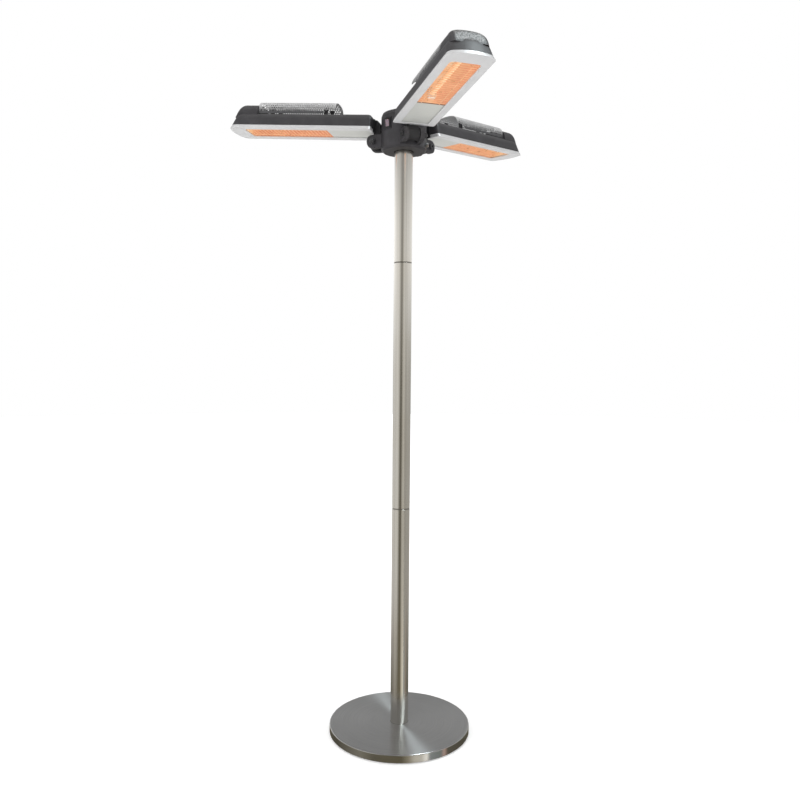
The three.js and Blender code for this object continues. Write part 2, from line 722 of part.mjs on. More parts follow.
function addArm(parent, { side, azimuth }) {
  const spoke = new THREE.Group();
  spoke.rotation.z = THREE.MathUtils.degToRad(azimuth);
  parent.add(spoke);
  addPivotBolt(spoke, side);

  const arm = new THREE.Group();
  arm.position.set(PIVOT_R, 0, PIVOT_Z);
  arm.rotation.y = THREE.MathUtils.degToRad(-ARM_TILT);
  spoke.add(arm);
  const add = (name, shape, material) => piece(arm, `${side}_${name}`, shape, material);
  add("hinge_bracket", hingeBracket(), charcoal);
  add("housing", housing(), charcoal);
  add("heat_shield", heatShield(), shieldGrey);
  add("frame", frame(), silver);
  add("terminal_cover", terminalCover(), silver);
  add("reflector", reflector(), mirror);
  add("guard", guard(), zinc);
  const tube = cut(
    solidOf(rodX(TUBE_R, TUBE_IN, TUBE_OUT, 0, TUBE_Z)),
    rodX(TUBE_R - 1.2, TUBE_IN - 1, TUBE_OUT + 1, 0, TUBE_Z),
  );
  add("quartz_tube", tube, quartz);
  add("heating_element", rodX(3, TUBE_IN + 2, TUBE_OUT - 2, 0, TUBE_Z, 10), glowingWire);
  const depth = 8;
  add("inner_lamp_holder", lampHolder(TUBE_IN + depth - HOLDER_LENGTH, TUBE_IN - GAP), ceramic);
  add("outer_lamp_holder", lampHolder(TUBE_OUT - depth, TUBE_OUT - 9 + GAP), ceramic);
}

const heater = new THREE.Group();
addBase(heater);
addPole(heater);
addHub(heater);
addGland(heater);
addSwitch(heater);
ARMS.forEach((arm) => addArm(heater, arm));

export default heater;
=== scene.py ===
import json
import math

import bmesh
import bpy
from mathutils import Matrix, Vector

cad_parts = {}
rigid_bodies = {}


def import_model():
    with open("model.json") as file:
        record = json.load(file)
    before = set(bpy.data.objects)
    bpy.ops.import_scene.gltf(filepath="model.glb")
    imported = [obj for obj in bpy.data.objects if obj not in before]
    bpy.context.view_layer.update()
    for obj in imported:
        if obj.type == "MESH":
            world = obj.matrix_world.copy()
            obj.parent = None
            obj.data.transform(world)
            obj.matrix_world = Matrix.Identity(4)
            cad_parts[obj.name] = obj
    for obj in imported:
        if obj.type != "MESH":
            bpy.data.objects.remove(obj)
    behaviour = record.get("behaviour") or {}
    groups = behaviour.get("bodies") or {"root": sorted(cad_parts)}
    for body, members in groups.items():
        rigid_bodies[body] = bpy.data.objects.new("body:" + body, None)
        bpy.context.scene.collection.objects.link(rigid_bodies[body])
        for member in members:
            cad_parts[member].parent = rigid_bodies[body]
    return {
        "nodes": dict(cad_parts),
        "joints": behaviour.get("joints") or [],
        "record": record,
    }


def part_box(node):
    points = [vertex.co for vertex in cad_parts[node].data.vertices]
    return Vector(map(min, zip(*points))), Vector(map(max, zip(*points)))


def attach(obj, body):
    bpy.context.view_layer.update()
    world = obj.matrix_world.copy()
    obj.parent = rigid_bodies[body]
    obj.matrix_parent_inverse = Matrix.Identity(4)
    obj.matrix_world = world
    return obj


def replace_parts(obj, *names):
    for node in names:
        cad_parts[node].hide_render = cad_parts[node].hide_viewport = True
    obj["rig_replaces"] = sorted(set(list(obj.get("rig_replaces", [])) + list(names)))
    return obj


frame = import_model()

MM = 0.001
UP = Vector((0, 0, 1))
IN_PLACE = Matrix.Identity(4)
SIDES = ("left", "right", "front")
GAP = 0.3 * MM  # what the frame leaves between touching pieces

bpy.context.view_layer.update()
nodes = frame["nodes"]
record = frame["record"]
joints = {joint["name"]: joint for joint in frame["joints"]}
body_of_node = {node: body for body, members in record["behaviour"]["bodies"].items() for node in members}
slot_of_node = {part["node"]: part["material_slot"] for part in record["subparts"]}


# ---------- places ----------

def arm_axes(side):
    """From an arm's own axes to the row frame: X out along the arm, Y along its hinge, Z up through it."""
    joint = joints[f"{side}_arm_fold"]
    hinge = Vector(joint["axis"]).normalized()
    outward = hinge.cross(UP)
    tube = [vertex.co for vertex in nodes[f"{side}_quartz_tube"].data.vertices]
    reach = [point.dot(outward) for point in tube]
    end_band = 2 * MM
    ends = []
    for limit in (min(reach), max(reach)):
        near = [point for point, at in zip(tube, reach) if abs(at - limit) < end_band]
        ends.append(sum(near, Vector()) / len(near))
    along = ends[1] - ends[0]
    along = (along - hinge * along.dot(hinge)).normalized()
    axes = Matrix((along, hinge, along.cross(hinge))).transposed().to_4x4()
    return Matrix.Translation(Vector(joint["pos_m"])) @ axes


def box_in(axes, node):
    """A CAD node's lowest and highest corners, measured in other axes."""
    back = axes.inverted()
    points = [back @ vertex.co for vertex in nodes[node].data.vertices]
    low = Vector(min(point[i] for point in points) for i in range(3))
    high = Vector(max(point[i] for point in points) for i in range(3))
    return low, high


ARM = {side: arm_axes(side) for side in SIDES}


# ---------- meshes ----------

def in_scene(name, data):
    """A new object, linked into the scene."""
    made = bpy.data.objects.new(name, data)
    bpy.context.scene.collection.objects.link(made)
    return made


def applied(holder):
    """A new mesh of an object with its modifiers applied."""
    graph = bpy.context.evaluated_depsgraph_get()
    return bpy.data.meshes.new_from_object(holder.evaluated_get(graph))


def mesh_of(name, points, faces):
    mesh = bpy.data.meshes.new(name)
    mesh.from_pydata([tuple(point) for point in points], [], faces)
    mesh.update()
    return mesh


def facing_out(mesh):
    """Turns a mesh's faces outward."""
    bm = bmesh.new()
    bm.from_mesh(mesh)
    bmesh.ops.recalc_face_normals(bm, faces=bm.faces)
    bm.to_mesh(mesh)
    bm.free()
    return mesh


def loft(name, rings, wrap=False):
    """A skin through rings of equally many points. It is capped at both ends, or wraps round on itself."""
    count = len(rings[0])
    points = [point for ring in rings for point in ring]
    faces = []
    for k in range(len(rings) if wrap else len(rings) - 1):
        here, there = k * count, (k + 1) % len(rings) * count
        for i in range(count):
            j = (i + 1) % count
            faces.append((here + i, here + j, there + j, there + i))
    if not wrap:
        faces.append(tuple(reversed(range(count))))
        faces.append(tuple(range(len(points) - count, len(points))))
    return facing_out(mesh_of(name, points, faces))


def circle(radius, height, count):
    turns = [math.tau * i / count for i in range(count)]
    return [Vector((radius * math.cos(turn), radius * math.sin(turn), height)) for turn in turns]


def lathe(name, profile, segments, wrap=True):
    """Turned about Z from (radius, height) points that close on themselves, or end by the axis."""
    return loft(name, [circle(radius, height, segments) for radius, height in profile], wrap)


def rod_along(path, radius, sides):
    """Points and faces of a round rod that follows a path."""
    points, faces = [], []
    last = len(path) - 1
    for k, point in enumerate(path):
        forward = (path[min(k + 1, last)] - path[max(k - 1, 0)]).normalized()
        across = forward.cross(UP if abs(forward.z) < 0.9 else Vector((1, 0, 0))).normalized()
        over = across.cross(forward)
        for i in range(sides):
            turn = 2 * math.pi * i / sides
            points.append(point + radius * (math.cos(turn) * across + math.sin(turn) * over))
    for k in range(last):
        here, there = k * sides, (k + 1) * sides
        for i in range(sides):
            j = (i + 1) % sides
            faces.append((here + i, here + j, there + j, there + i))
    faces.append(tuple(reversed(range(sides))))
    faces.append(tuple(range(len(points) - sides, len(points))))
    return points, faces


def gather(name, parts):
    """One mesh from several (points, faces) pairs."""
    points, faces = [], []
    for part_points, part_faces in parts:
        start = len(points)
        points += part_points
        faces += [tuple(start + i for i in face) for face in part_faces]
    return facing_out(mesh_of(name, points, faces))


def curved_outline(arcs, height, steps=8):
    """Points along quadratic arcs, given as (start, control, end), joined by straight lines."""
    points = []
    for corners in arcs:
        for i in range(steps + 1):
            t = i / steps
            x, y = [(1 - t) ** 2 * a + 2 * t * (1 - t) * b + t * t * c for a, b, c in zip(*corners)]
            points.append(Vector((x, y, height)))
    return points


def plan(start, reach, half, height, ease=8 * MM, bow=7 * MM, corner=16 * MM):
    """An arm's outline from above: square at the hinge end, with a bowed tip that comes to reach."""
    ease, corner = min(ease, half * 0.9), min(corner, half * 0.9)
    side = reach - bow - 0.25 * corner * (bow > 0)
    arcs = [
        ((start, ease - half), (start, -half), (start + ease, -half)),
        ((side - corner, -half), (side, -half), (reach - bow, corner - half)),
        ((reach - bow, corner - half), (reach + bow, 0), (reach - bow, half - corner)),
        ((reach - bow, half - corner), (side, half), (side - corner, half)),
        ((start + ease, half), (start, half), (start, half - ease)),
    ]
    points = curved_outline(arcs, height)
    touching = 1e-7
    return [point for k, point in enumerate(points) if (point - points[k - 1]).length > touching]


def between(ring, other, share):
    return [a.lerp(b, share) for a, b in zip(ring, other)]


def rounded_over(low, corner, inner, lead=0.5, steps=8):
    """Rings up a wall from low towards corner, which they round off to end at inner."""
    start = between(low, corner, lead)
    rings = [low, start]
    for i in range(1, steps + 1):
        t = i / steps
        rings.append(between(between(start, corner, t), between(corner, inner, t), t))
    return rings


def block(low, high):
    """The points and faces of a straight-sided block."""
    xs, ys, zs = zip(low, high)
    points = [Vector((x, y, z)) for x in xs for y in ys for z in zs]
    faces = [(0, 1, 3, 2), (4, 6, 7, 5), (0, 4, 5, 1), (2, 3, 7, 6), (0, 2, 6, 4), (1, 5, 7, 3)]
    return points, faces


def joined(mesh, operation, tool):
    """The boolean of two closed meshes, as a new mesh."""
    pair = [in_scene("boolean", data) for data in (mesh, tool)]
    modifier = pair[0].modifiers.new("boolean", "BOOLEAN")
    modifier.operation = operation
    modifier.solver = "EXACT"
    modifier.object = pair[1]
    result = applied(pair[0])
    for body in pair:
        bpy.data.objects.remove(body)
    return result


def eased(mesh, width, segments=2, angle=35):
    """Rounds a mesh's sharp edges, so that they catch the light."""
    weld = 0.002 * MM
    flat = math.radians(0.4)
    bm = bmesh.new()
    bm.from_mesh(mesh)
    bmesh.ops.remove_doubles(bm, verts=bm.verts, dist=weld)
    bmesh.ops.dissolve_limit(bm, angle_limit=flat, verts=bm.verts, edges=bm.edges)
    sharp = [edge for edge in bm.edges if edge.is_manifold and edge.calc_face_angle() > math.radians(angle)]
    bmesh.ops.bevel(
        bm, geom=sharp, offset=width, offset_type="OFFSET", segments=segments, profile=0.5, affect="EDGES",
        clamp_overlap=True,
    )
    bm.to_mesh(mesh)
    bm.free()
    return mesh


def shaded(mesh, angle=38):
    """Smooth shading that breaks at sharp edges."""
    bm = bmesh.new()
    bm.from_mesh(mesh)
    for face in bm.faces:
        face.smooth = True
    for edge in bm.edges:
        edge.smooth = not edge.is_manifold or edge.calc_face_angle(0) < math.radians(angle)
    bm.to_mesh(mesh)
    bm.free()
    return mesh


def from_cad(node, width, segments=2, axes=IN_PLACE):
    """A CAD node's shape as a new mesh in the given axes, with eased edges."""
    source = nodes[node].data
    back = axes.inverted()
    points = [back @ vertex.co for vertex in source.vertices]
    mesh = mesh_of(node, points, [tuple(face.vertices) for face in source.polygons])
    return eased(mesh, width, segments)


def piece(name, mesh, node, axes=IN_PLACE):
    """Puts a mesh in the scene in place of a CAD node, on that node's body and with its finish.

    Its own coordinates stay with it as the attribute "place", which the finishes read.
    """
    placed = mesh.copy()
    place = placed.attributes.new("place", "FLOAT_VECTOR", "POINT")
    for vertex, entry in zip(placed.vertices, place.data):
        entry.vector = vertex.co
    placed.transform(axes)
    made = in_scene(name, placed)
    made.modifiers.new("even_shading", "WEIGHTED_NORMAL").keep_sharp = True
    slot = slot_of_node[node]
    placed.materials.clear()
    placed.materials.append(finish_for(slot))
    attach(made, body_of_node[node])
    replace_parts(made, node)


# ---------- materials ----------

def add_node(tree, kind, inputs=None, **settings):
    """Adds a shader node; an input is a constant or the socket that feeds it."""
    made = tree.nodes.new(kind)
    for name, value in settings.items():
        setattr(made, name, value)
    for name, value in (inputs or {}).items():
        if isinstance(value, bpy.types.NodeSocket):
            tree.links.new(value, made.inputs[name])
        else:
            made.inputs[name].default_value = value
    return made


def maths(tree, operation, first, second=0.0):
    return add_node(tree, "ShaderNodeMath", {0: first, 1: second}, operation=operation).outputs[0]


def vector_maths(tree, operation, *vectors):
    made = add_node(tree, "ShaderNodeVectorMath", dict(enumerate(vectors)), operation=operation)
    return made.outputs["Value" if operation == "LENGTH" else "Vector"]


def mean(tree, first, second):
    return maths(tree, "ADD", maths(tree, "MULTIPLY", first, 0.5), maths(tree, "MULTIPLY", second, 0.5))


def sway(tree, cloud, size):
    """How far a noise stands from its middle, scaled to a size."""
    return maths(tree, "MULTIPLY", maths(tree, "SUBTRACT", cloud, 0.5), size)


def ramp(tree, factor, stops):
    """A colour ramp through (position, colour) stops."""
    made = add_node(tree, "ShaderNodeValToRGB", {"Fac": factor})
    elements = made.color_ramp.elements
    while len(elements) < len(stops):
        elements.new(1.0)
    for element, (position, colour) in zip(elements, stops):
        element.position = position
        element.color = (*colour, 1.0)
    return made.outputs["Color"]


def shades(tree, factor, dark, light, low=0.3, high=0.7):
    """A ramp from a dark colour to a light one."""
    return ramp(tree, factor, [(low, dark), (high, light)])


def times(colour, factor):
    return [min(1.0, channel * factor) for channel in colour]


def scalar_range(tree, factor, low, high):
    made = add_node(tree, "ShaderNodeMapRange", {"Value": factor, "To Min": low, "To Max": high})
    return made.outputs["Result"]


def share_between(tree, value, low, high):
    made = add_node(tree, "ShaderNodeMapRange", {"Value": value, "From Min": low, "From Max": high})
    return made.outputs["Result"]


def own_place(tree):
    """The piece's own coordinates, in metres."""
    return add_node(tree, "ShaderNodeAttribute", attribute_name="place").outputs["Vector"]


def own_parts(tree):
    """The piece's own X, Y and Z."""
    return add_node(tree, "ShaderNodeSeparateXYZ", {0: own_place(tree)}).outputs


def own_coordinates(tree, scale):
    """The piece's own coordinates, stretched."""
    return add_node(tree, "ShaderNodeMapping", {"Vector": own_place(tree), "Scale": scale}).outputs["Vector"]


def facing_up(tree):
    """How far the surface faces up, from -1 to 1."""
    facing = add_node(tree, "ShaderNodeNewGeometry").outputs["Normal"]
    return add_node(tree, "ShaderNodeSeparateXYZ", {0: facing}).outputs["Z"]


def round_the_pole(tree):
    """The direction round the vertical axis, for brushed steel."""
    return add_node(tree, "ShaderNodeTangent", direction_type="RADIAL", axis="Z").outputs[0]


def noise(tree, vector, scale, detail, roughness=0.55):
    inputs = {"Vector": vector, "Scale": scale, "Detail": detail, "Roughness": roughness}
    return add_node(tree, "ShaderNodeTexNoise", inputs).outputs["Fac"]


def blend_colours(tree, factor, first, second, mode="MIX"):
    made = add_node(tree, "ShaderNodeMix", data_type="RGBA", blend_type=mode)
    for index, value in ((0, factor), (6, first), (7, second)):
        if isinstance(value, bpy.types.NodeSocket):
            tree.links.new(value, made.inputs[index])
        else:
            made.inputs[index].default_value = value if index == 0 else (*value, 1.0)
    return made.outputs[2]


def principled(tree):
    return next(node for node in tree.nodes if node.type == "BSDF_PRINCIPLED")


def surface(name, **constants):
    """A new material and its Principled shader, with the shader's constants set."""
    material = bpy.data.materials.new(name)
    material.use_nodes = True
    tree = material.node_tree
    shader = principled(tree)
    for key, value in constants.items():
        shader.inputs[key.replace("_", " ")].default_value = value
    return material, tree, shader


def coated(material):
    """A finished material's tree, its shader and the colour that feeds it."""
    tree = material.node_tree
    shader = principled(tree)
    return tree, shader, shader.inputs["Base Color"].links[0].from_socket


def feed(shader, **sockets):
    """Links sockets to the shader's inputs."""
    for key, socket in sockets.items():
        shader.id_data.links.new(socket, shader.inputs[key.replace("_", " ")])


def bump(shader, height, depth, strength):
    inputs = {"Height": height, "Distance": depth, "Strength": strength}
    feed(shader, Normal=add_node(shader.id_data, "ShaderNodeBump", inputs).outputs["Normal"])


def ringed_steel(name, colour, roughness, polish):
    """Steel brushed in rings about the pole's axis, its upright edge polished brighter than its flat."""
    material, tree, shader = surface(name, Metallic=1.0, Anisotropic_Rotation=0.25)
    rings_per_metre = 1400.0
    place = own_place(tree)
    flat = vector_maths(tree, "MULTIPLY", place, (1, 1, 0))
    radius = vector_maths(tree, "LENGTH", flat)
    heading = vector_maths(tree, "NORMALIZE", flat)
    height = add_node(tree, "ShaderNodeSeparateXYZ", {0: place}).outputs["Z"]
    run = maths(tree, "MULTIPLY", maths(tree, "ADD", radius, height), rings_per_metre)
    lift = add_node(tree, "ShaderNodeCombineXYZ", {"Z": run}).outputs[0]
    fine = noise(tree, vector_maths(tree, "ADD", heading, lift), 1.0, 3.0)
    broad = noise(tree, place, 9.0, 3.0)
    on_flat = maths(tree, "ABSOLUTE", facing_up(tree))
    shade = shades(tree, fine, times(colour, 0.86), times(colour, 1.1), 0.25, 0.75)
    wear = shades(tree, broad, (0.8, 0.8, 0.8), (1, 1, 1))
    brushed = scalar_range(tree, on_flat, polish, roughness)
    uneven = scalar_range(tree, mean(tree, fine, broad), -0.04, 0.04)
    feed(
        shader,
        Base_Color=blend_colours(tree, 0.35, shade, wear, "MULTIPLY"),
        Roughness=maths(tree, "ADD", brushed, uneven),
        Anisotropic=scalar_range(tree, on_flat, 0.3, 0.96),
        Tangent=round_the_pole(tree),
    )
    bump(shader, fine, 0.02 * MM, 0.3)
    return material


def drawn_steel(name, colour, roughness):
    """Tube steel: a fine polish round it, long drawn streaks and faint smudges."""
    material, tree, shader = surface(name, Metallic=1.0, Anisotropic=0.5, Anisotropic_Rotation=0.25)
    streaks = noise(tree, own_coordinates(tree, (420, 420, 1.3)), 1.0, 4.0)
    polish = noise(tree, own_coordinates(tree, (30, 30, 2200)), 1.0, 2.0)
    smudge = noise(tree, own_coordinates(tree, (9, 9, 5)), 1.0, 5.0)
    shade = shades(tree, streaks, times(colour, 0.9), times(colour, 1.08))
    tint = shades(tree, smudge, (0.9, 0.87, 0.82), (1, 1, 1), 0.35, 0.65)
    feed(
        shader,
        Base_Color=blend_colours(tree, 0.5, shade, tint, "MULTIPLY"),
        Roughness=scalar_range(tree, mean(tree, polish, smudge), roughness - 0.06, roughness + 0.08),
        Tangent=round_the_pole(tree),
    )
    bump(shader, polish, 0.01 * MM, 0.25)
    return material


def grained(
    name, colour, roughness, grain=2600.0, depth=0.05 * MM,
    metallic=0.0, variation=0.18, dust_and_sheen=0.0, gloss=0.35,
):
    """Moulded or coated stuff: a fine grain, uneven gloss, and dust with a painted sheen that lies lighter
    on what faces up.
    """
    material, tree, shader = surface(name, Metallic=metallic, Specular_IOR_Level=gloss)
    place = own_place(tree)
    fine = noise(tree, place, grain, 2.0)
    broad = noise(tree, place, 34.0, 5.0, 0.6)
    shade = shades(tree, broad, times(colour, 1 - variation), times(colour, 1 + variation))
    if dust_and_sheen:
        # Dust and painted sheen: faces that look up blend towards a light grey, both as dust and as light
        # falling from above.
        level = maths(tree, "MAXIMUM", facing_up(tree), 0.0)
        dust_and_sheen_mask = maths(tree, "MULTIPLY", level, scalar_range(tree, fine, 0.0, dust_and_sheen))
        shade = blend_colours(tree, dust_and_sheen_mask, shade, (0.4, 0.39, 0.38))
    uneven = scalar_range(tree, mean(tree, fine, broad), roughness - 0.12, roughness + 0.12)
    feed(shader, Base_Color=shade, Roughness=uneven)
    bump(shader, fine, depth, 0.5)
    return material


def housing_coat(name):
    """Charcoal coat, mottled with a lighter grey over the crown of the raised end."""
    crown_half, fade = 38 * MM, 5 * MM
    material = grained(name, CHARCOAL, 0.45, 1900.0, 0.07 * MM, dust_and_sheen=0.25)
    tree, shader, coat = coated(material)
    own = own_parts(tree)
    speckle = noise(tree, own_place(tree), 290.0, 3.0)
    edge = sway(tree, speckle, 9 * MM)
    height = maths(tree, "ADD", own["Z"], edge)
    aside = maths(tree, "ADD", maths(tree, "ABSOLUTE", own["Y"]), edge)
    up = share_between(tree, height, HOUSING_TOP - 8 * MM, HOUSING_TOP - 2 * MM)
    inward = share_between(tree, aside, crown_half, crown_half - fade)
    beyond = share_between(tree, own["X"], DOME_IN + 3 * MM, DOME_IN + 6 * MM)
    crown_mottle = shades(tree, speckle, (0.06, 0.06, 0.06), (0.3, 0.3, 0.3), 0.36, 0.64)
    mask = maths(tree, "MULTIPLY", maths(tree, "MULTIPLY", up, inward), beyond)
    feed(shader, Base_Color=blend_colours(tree, mask, coat, crown_mottle))
    return material


def shield_coat(name):
    """Grey coat with painted shade that darkens it towards the shield's lower edges."""
    grey_coat = (0.57, 0.57, 0.575)
    material = grained(name, grey_coat, 0.45, 2400.0, 0.03 * MM, metallic=0.1, variation=0.1, dust_and_sheen=0.3)
    tree, shader, coat = coated(material)
    # Painted shade: the coat is multiplied darker towards the lower edges, along a line that noise makes
    # uneven.
    shade_wobble = sway(tree, noise(tree, own_place(tree), 120.0, 3.0), 12 * MM)
    height = maths(tree, "ADD", own_parts(tree)["Z"], shade_wobble)
    unshaded_share = share_between(tree, height, SHIELD_LOW.z, SHIELD_HIGH.z)
    shade = ramp(tree, unshaded_share, [(0.15, (0.12, 0.12, 0.125)), (0.42, (0.5, 0.5, 0.5)), (0.75, (1, 1, 1))])
    feed(shader, Base_Color=blend_colours(tree, 1.0, coat, shade, "MULTIPLY"))
    return material


def plated(name, colour, roughness):
    """Zinc plating: bright, with a cloudy crystalline bloom."""
    material, tree, shader = surface(name, Metallic=1.0)
    place = own_place(tree)
    cloud = noise(tree, place, 420.0, 5.0, 0.65)
    fine = noise(tree, place, 3200.0, 2.0)
    feed(
        shader,
        Base_Color=shades(tree, cloud, times(colour, 0.75), colour),
        Roughness=scalar_range(tree, cloud, roughness - 0.1, roughness + 0.15),
    )
    bump(shader, fine, 0.02 * MM, 0.4)
    return material


def lacquered(name, colour, roughness):
    """Silver lacquer: fine metal flake under a thin clear coat."""
    material, tree, shader = surface(name, Metallic=0.12, Coat_Weight=0.2, Coat_Roughness=0.15)
    place = own_place(tree)
    flake = noise(tree, place, 5200.0, 1.0)
    broad = noise(tree, place, 26.0, 4.0)
    shade = shades(tree, flake, times(colour, 0.92), times(colour, 1.05))
    haze = shades(tree, broad, (0.9, 0.9, 0.91), (1, 1, 1))
    feed(
        shader,
        Base_Color=blend_colours(tree, 0.6, shade, haze, "MULTIPLY"),
        Roughness=scalar_range(tree, broad, roughness - 0.06, roughness + 0.1),
    )
    bump(shader, flake, 0.01 * MM, 0.3)
    return material


def lit_reflector(name):
    """Sheet with the tube's light painted on as a glow: pale along its middle, redder to its sides and inner
    end, mottled.
    """
    material, tree, shader = surface(name, Metallic=0.6)
    own = own_parts(tree)
    across = maths(tree, "MULTIPLY", maths(tree, "ABSOLUTE", own["Y"]), 0.8 / REFLECTOR_HIGH.y)
    inward = share_between(tree, own["X"], REFLECTOR_HIGH.x, REFLECTOR_LOW.x)
    ripples = noise(tree, own_coordinates(tree, (90, 22, 60)), 1.0, 3.0)
    cloud = noise(tree, own_coordinates(tree, (26, 34, 16)), 1.0, 3.0)
    mottled = maths(tree, "ADD", across, sway(tree, cloud, 1.2))
    redness = maths(tree, "ADD", mottled, maths(tree, "MULTIPLY", inward, 0.15))
    stops = [
        (0.0, (1.0, 0.78, 0.5)),
        (0.2, (0.96, 0.58, 0.28)),
        (0.45, (0.88, 0.41, 0.19)),
        (0.75, (0.82, 0.34, 0.18)),
        (1.0, (0.6, 0.18, 0.1)),
    ]
    glow = ramp(tree, redness, stops)
    # Painted light: the sheet glows through its emission where the tube's light falls on it.
    feed(
        shader,
        Emission_Color=blend_colours(tree, maths(tree, "MULTIPLY", inward, 0.5), glow, (0.8, 0.34, 0.21)),
        Emission_Strength=scalar_range(tree, ripples, 0.66, 0.86),
        Base_Color=shades(tree, cloud, (0.16, 0.1, 0.07), (0.28, 0.19, 0.13)),
        Roughness=scalar_range(tree, ripples, 0.2, 0.5),
    )
    bump(shader, ripples, 0.3 * MM, 0.4)
    return material


def hot_wire(name):
    """The glowing filament, unevenly hot."""
    material, tree, shader = surface(name, Roughness=0.6)
    cloud = noise(tree, own_place(tree), 60.0, 2.0)
    colour = shades(tree, cloud, (1.0, 0.52, 0.22), (1.0, 0.78, 0.46))
    strength = scalar_range(tree, cloud, 0.3, 0.45)
    feed(shader, Emission_Color=colour, Base_Color=colour, Emission_Strength=strength)
    return material


def quartz_glass(name):
    """Milky quartz, glowing cream from the filament inside it."""
    material, tree, shader = surface(name, IOR=1.458, Transmission_Weight=0.45)
    cloud = noise(tree, own_coordinates(tree, (14, 60, 60)), 1.0, 3.0)
    feed(
        shader,
        Base_Color=shades(tree, cloud, (0.85, 0.62, 0.42), (0.92, 0.76, 0.58)),
        Roughness=scalar_range(tree, cloud, 0.2, 0.4),
        Emission_Color=shades(tree, cloud, (0.96, 0.6, 0.3), (0.98, 0.74, 0.45)),
        Emission_Strength=scalar_range(tree, cloud, 0.14, 0.24),
    )
    return material


def glowing_guard_wire(name):
    """Guard wire with the lamp's light painted on as a straw-coloured glow."""
    # Painted light: the emission makes the wire glow as if the tube's light falls on it.
    material, tree, shader = surface(name, Metallic=0.4, Emission_Strength=0.28)
    cloud = noise(tree, own_place(tree), 45.0, 3.0)
    shade = shades(tree, cloud, (0.66, 0.37, 0.2), (0.8, 0.5, 0.3))
    roughness = scalar_range(tree, cloud, 0.2, 0.4)
    feed(shader, Base_Color=shade, Emission_Color=shade, Roughness=roughness)
    return material


def rocker_lens(name, colour):
    """A tinted translucent rocker."""
    material, tree, shader = surface(name, Coat_Weight=0.4, Coat_Roughness=0.1, Subsurface_Weight=0.15)
    cloud = noise(tree, own_place(tree), 160.0, 3.0)
    shade = shades(tree, cloud, times(colour, 0.75), colour)
    feed(shader, Base_Color=shade, Roughness=scalar_range(tree, cloud, 0.25, 0.4))
    return material


CHARCOAL = (0.036, 0.0345, 0.038)
BLACK = (0.02, 0.02, 0.022)
FINISHES = {
    "base_steel": lambda name: ringed_steel(name, (0.6, 0.6, 0.595), 0.3, 0.1),
    "pole_steel": lambda name: drawn_steel(name, (0.72, 0.7, 0.66), 0.17),
    "coupling_steel": lambda name: ringed_steel(name, (0.42, 0.4, 0.37), 0.4, 0.4),
    "cast_weight": lambda name: grained(name, (0.05, 0.05, 0.052), 0.8, 300.0, 0.4 * MM, variation=0.4),
    "rubber_pad": lambda name: grained(name, (0.022, 0.022, 0.022), 0.82, 1500.0, 0.1 * MM),
    "rubber_bush": lambda name: grained(name, (0.025, 0.025, 0.026), 0.8, 1500.0, 0.1 * MM),
    "fastener_zinc": lambda name: plated(name, (0.62, 0.63, 0.65), 0.34),
    "fastener_black": lambda name: grained(name, (0.03, 0.03, 0.032), 0.4, 2400.0, 0.03 * MM, gloss=0.5),
    "nylon": lambda name: grained(name, (0.76, 0.75, 0.7), 0.5, 1800.0, variation=0.05),
    "hub_plastic": lambda name: grained(name, CHARCOAL, 0.46, dust_and_sheen=0.15),
    "gland_plastic": lambda name: grained(name, BLACK, 0.42),
    "switch_plastic": lambda name: grained(name, BLACK, 0.3, 3400.0, 0.02 * MM),
    "switch_lens": lambda name: rocker_lens(name, (0.21, 0.15, 0.18)),
    "bracket_black": lambda name: grained(name, BLACK, 0.45, 1900.0, 0.08 * MM, dust_and_sheen=0.1),
    "housing_charcoal": housing_coat,
    "shield_grey": shield_coat,
    "frame_silver": lambda name: lacquered(name, (0.6, 0.6, 0.605), 0.32),
    "cover_silver": lambda name: lacquered(name, (0.54, 0.545, 0.515), 0.36),
    "reflector_bright": lit_reflector,
    "guard_wire": glowing_guard_wire,
    "quartz": quartz_glass,
    "element": hot_wire,
    "ceramic": lambda name: grained(name, (0.8, 0.76, 0.68), 0.68, 1300.0, 0.08 * MM, variation=0.06),
}
finishes = {}


def finish_for(slot):
    if slot not in finishes:
        finishes[slot] = FINISHES[slot](slot)
    return finishes[slot]


# ---------- base and pole ----------

def arc(centre, radius, start, end, steps=6):
    """(radius, height) points round a corner of a turned profile, between two angles in degrees."""
    angles = [math.radians(start + (end - start) * i / steps) for i in range(steps + 1)]
    return [(centre[0] + radius * math.cos(a), centre[1] + radius * math.sin(a)) for a in angles]


def base_cover_mesh():
    """A thin dish, bent down round its edge, with a hole for the pole."""
    low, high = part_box("base_cover")
    outer, top, bottom = high.x, high.z, low.z
    sheet, bend = 1.5 * MM, 3 * MM
    lip, rim = 0.3 * MM, 0.4 * MM
    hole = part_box("pole_lower")[1].x + GAP
    profile = [(hole, top - lip), (hole + lip, top)]
    profile += [(hole + (outer - bend - hole) * share, top) for share in (0.25, 0.5, 0.75)]
    profile += arc((outer - bend, top - bend), bend, 90, 0)
    profile += [(outer, bottom + rim), (outer - rim, bottom), (outer - sheet, bottom)]
    profile += arc((outer - bend, top - bend), bend - sheet, 0, 90, 4)
    profile += [(hole, top - sheet)]
    return shaded(lathe("base_cover", profile, 256))


